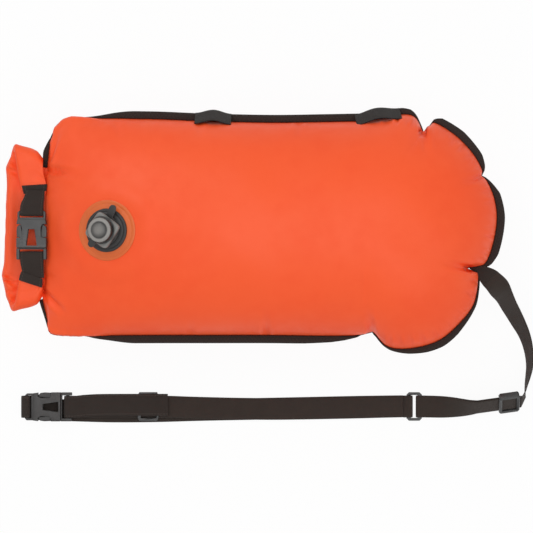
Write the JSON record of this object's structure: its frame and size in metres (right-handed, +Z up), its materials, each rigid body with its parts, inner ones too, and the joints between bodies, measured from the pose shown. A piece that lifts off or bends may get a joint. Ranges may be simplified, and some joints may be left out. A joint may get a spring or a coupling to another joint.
{
  "type": "open water swim buoy",
  "caption": "Inflatable roll-top swim buoy and dry bag with a screw valve, grab loops, a twisted leash and a buckled waist belt.",
  "frame": {"origin": "under the middle of the bag, on the floor that it lies on", "axes": "+X along the bag from its rolled mouth to its far end, +Z up out of the front panel with the valve"},
  "size_m": [0.5984, 0.3591, 0.1664],
  "materials": {
    "front_panel": "satin coated fabric",
    "back_panel": "satin coated fabric",
    "rolled_mouth": "satin coated fabric",
    "seam_binding": "ribbed webbing",
    "left_grab_loop": "ribbed webbing",
    "right_grab_loop": "ribbed webbing",
    "roll_upper_tab": "ribbed webbing",
    "roll_lower_tab": "ribbed webbing",
    "roll_socket_loop": "ribbed webbing",
    "roll_plug_loop": "ribbed webbing",
    "belt_plug_loop": "ribbed webbing",
    "belt_front_run": "ribbed webbing",
    "belt_back_run": "ribbed webbing",
    "belt_socket_loop": "ribbed webbing",
    "belt_ring_loop": "ribbed webbing",
    "leash_root": "ribbed webbing",
    "leash_run": "ribbed webbing",
    "leash_doubled_end": "ribbed webbing",
    "roll_buckle_socket": "fine moulded grain",
    "roll_buckle_plug": "fine moulded grain",
    "roll_buckle_right_arm": "fine moulded grain",
    "roll_buckle_left_arm": "fine moulded grain",
    "belt_buckle_socket": "fine moulded grain",
    "belt_buckle_plug": "fine moulded grain",
    "belt_buckle_upper_arm": "fine moulded grain",
    "belt_buckle_lower_arm": "fine moulded grain",
    "belt_slider": "fine moulded grain",
    "leash_slider": "fine moulded grain",
    "leash_ring": "fine moulded grain",
    "valve_body": "satin moulded",
    "valve_cap": "satin moulded",
    "valve_base": "soft satin",
    "valve_seal": "soft satin",
    "valve_tether": "soft satin",
    "cap_tether": "soft satin",
    "one_way_flap": "soft satin",
    "valve_patch": "satin welded film",
    "mouth_stiffener": "plain strip"
  },
  "bodies": {
    "buoy": {"front_panel": "front_panel", "back_panel": "back_panel", "rolled_mouth": "rolled_mouth", "seam_binding": "seam_binding", "left_grab_loop": "left_grab_loop", "right_grab_loop": "right_grab_loop", "roll_upper_tab": "roll_upper_tab", "roll_lower_tab": "roll_lower_tab", "roll_plug_loop": "roll_plug_loop", "belt_plug_loop": "belt_plug_loop", "belt_front_run": "belt_front_run", "belt_back_run": "belt_back_run", "belt_ring_loop": "belt_ring_loop", "leash_root": "leash_root", "leash_run": "leash_run", "leash_doubled_end": "leash_doubled_end", "roll_buckle_plug": "roll_buckle_plug", "belt_buckle_plug": "belt_buckle_plug", "valve_base": "valve_base", "valve_tether": "valve_tether", "valve_patch": "valve_patch", "mouth_stiffener": "mouth_stiffener"},
    "roll_socket": {"roll_buckle_socket": "roll_buckle_socket", "roll_socket_loop": "roll_socket_loop"},
    "roll_right_arm": {"roll_buckle_right_arm": "roll_buckle_right_arm"},
    "roll_left_arm": {"roll_buckle_left_arm": "roll_buckle_left_arm"},
    "belt_socket": {"belt_buckle_socket": "belt_buckle_socket", "belt_socket_loop": "belt_socket_loop"},
    "belt_upper_arm": {"belt_buckle_upper_arm": "belt_buckle_upper_arm"},
    "belt_lower_arm": {"belt_buckle_lower_arm": "belt_buckle_lower_arm"},
    "belt_adjuster": {"belt_slider": "belt_slider"},
    "leash_adjuster": {"leash_slider": "leash_slider"},
    "ring": {"leash_ring": "leash_ring"},
    "valve_seal_ring": {"valve_seal": "valve_seal"},
    "valve_screw": {"valve_body": "valve_body", "one_way_flap": "one_way_flap"},
    "cap_collar": {"cap_tether": "cap_tether"},
    "cap": {"valve_cap": "valve_cap"}
  },
  "joints": [
    {"name": "roll_buckle_slide", "type": "slide", "parent": "buoy", "child": "roll_socket", "axis": [0, 1, 0], "range_m": [0, 0.028], "deforming": ["roll_buckle_right_arm", "roll_buckle_left_arm"]},
    {"name": "roll_right_arm_squeeze", "type": "hinge", "parent": "buoy", "child": "roll_right_arm", "pos_m": [-0.2331, -0.0171, 0.10432], "axis": [0, 0, 1], "range_deg": [0, 11], "stiffness_Nm_per_rad": 0.02},
    {"name": "roll_left_arm_squeeze", "type": "hinge", "parent": "buoy", "child": "roll_left_arm", "pos_m": [-0.2521, -0.0171, 0.10432], "axis": [0, 0, 1], "range_deg": [-11, 0], "stiffness_Nm_per_rad": 0.02},
    {"name": "belt_buckle_slide", "type": "slide", "parent": "buoy", "child": "belt_socket", "axis": [-1, 0, 0], "range_m": [0, 0.028], "deforming": ["belt_buckle_upper_arm", "belt_buckle_lower_arm"]},
    {"name": "belt_upper_arm_squeeze", "type": "hinge", "parent": "buoy", "child": "belt_upper_arm", "pos_m": [-0.2225, -0.1905, 0.0082], "axis": [0, 0, 1], "range_deg": [0, 11], "stiffness_Nm_per_rad": 0.02},
    {"name": "belt_lower_arm_squeeze", "type": "hinge", "parent": "buoy", "child": "belt_lower_arm", "pos_m": [-0.2225, -0.2095, 0.0082], "axis": [0, 0, 1], "range_deg": [-11, 0], "stiffness_Nm_per_rad": 0.02},
    {"name": "belt_slider_slide", "type": "slide", "parent": "buoy", "child": "belt_adjuster", "axis": [1, 0, 0], "range_m": [-0.05, 0.004]},
    {"name": "leash_slider_slide", "type": "slide", "parent": "buoy", "child": "leash_adjuster", "axis": [-0.9904, -0.1381, -0.004], "range_m": [0, 0.02]},
    {"name": "ring_tilt", "type": "hinge", "parent": "buoy", "child": "ring", "pos_m": [0.1786, -0.2, 0.003], "axis": [0, -1, 0], "range_deg": [0, 25], "deforming": ["leash_doubled_end", "belt_ring_loop"]},
    {"name": "valve_lift", "type": "slide", "parent": "buoy", "child": "valve_seal_ring", "axis": [-0.3027, 0, 0.9531], "range_m": [0, 0.003]},
    {"name": "valve_unscrew", "type": "hinge", "parent": "valve_seal_ring", "child": "valve_screw", "pos_m": [-0.1568, 0, 0.14084], "axis": [-0.3027, 0, 0.9531], "range_deg": [0, 360]},
    {"name": "cap_lift", "type": "slide", "parent": "valve_screw", "child": "cap_collar", "axis": [-0.3027, 0, 0.9531], "range_m": [0, 0.0045]},
    {"name": "cap_unscrew", "type": "hinge", "parent": "cap_collar", "child": "cap", "pos_m": [-0.1568, 0, 0.14084], "axis": [-0.3027, 0, 0.9531], "range_deg": [0, 540]}
  ],
  "couplings": [
    {"joint": "roll_left_arm_squeeze", "follows": "roll_right_arm_squeeze", "ratio": -1},
    {"joint": "belt_lower_arm_squeeze", "follows": "belt_upper_arm_squeeze", "ratio": -1},
    {"joint": "valve_unscrew", "follows": "valve_lift", "rad_per_m": 2094},
    {"joint": "cap_unscrew", "follows": "cap_lift", "rad_per_m": 2094}
  ]
}
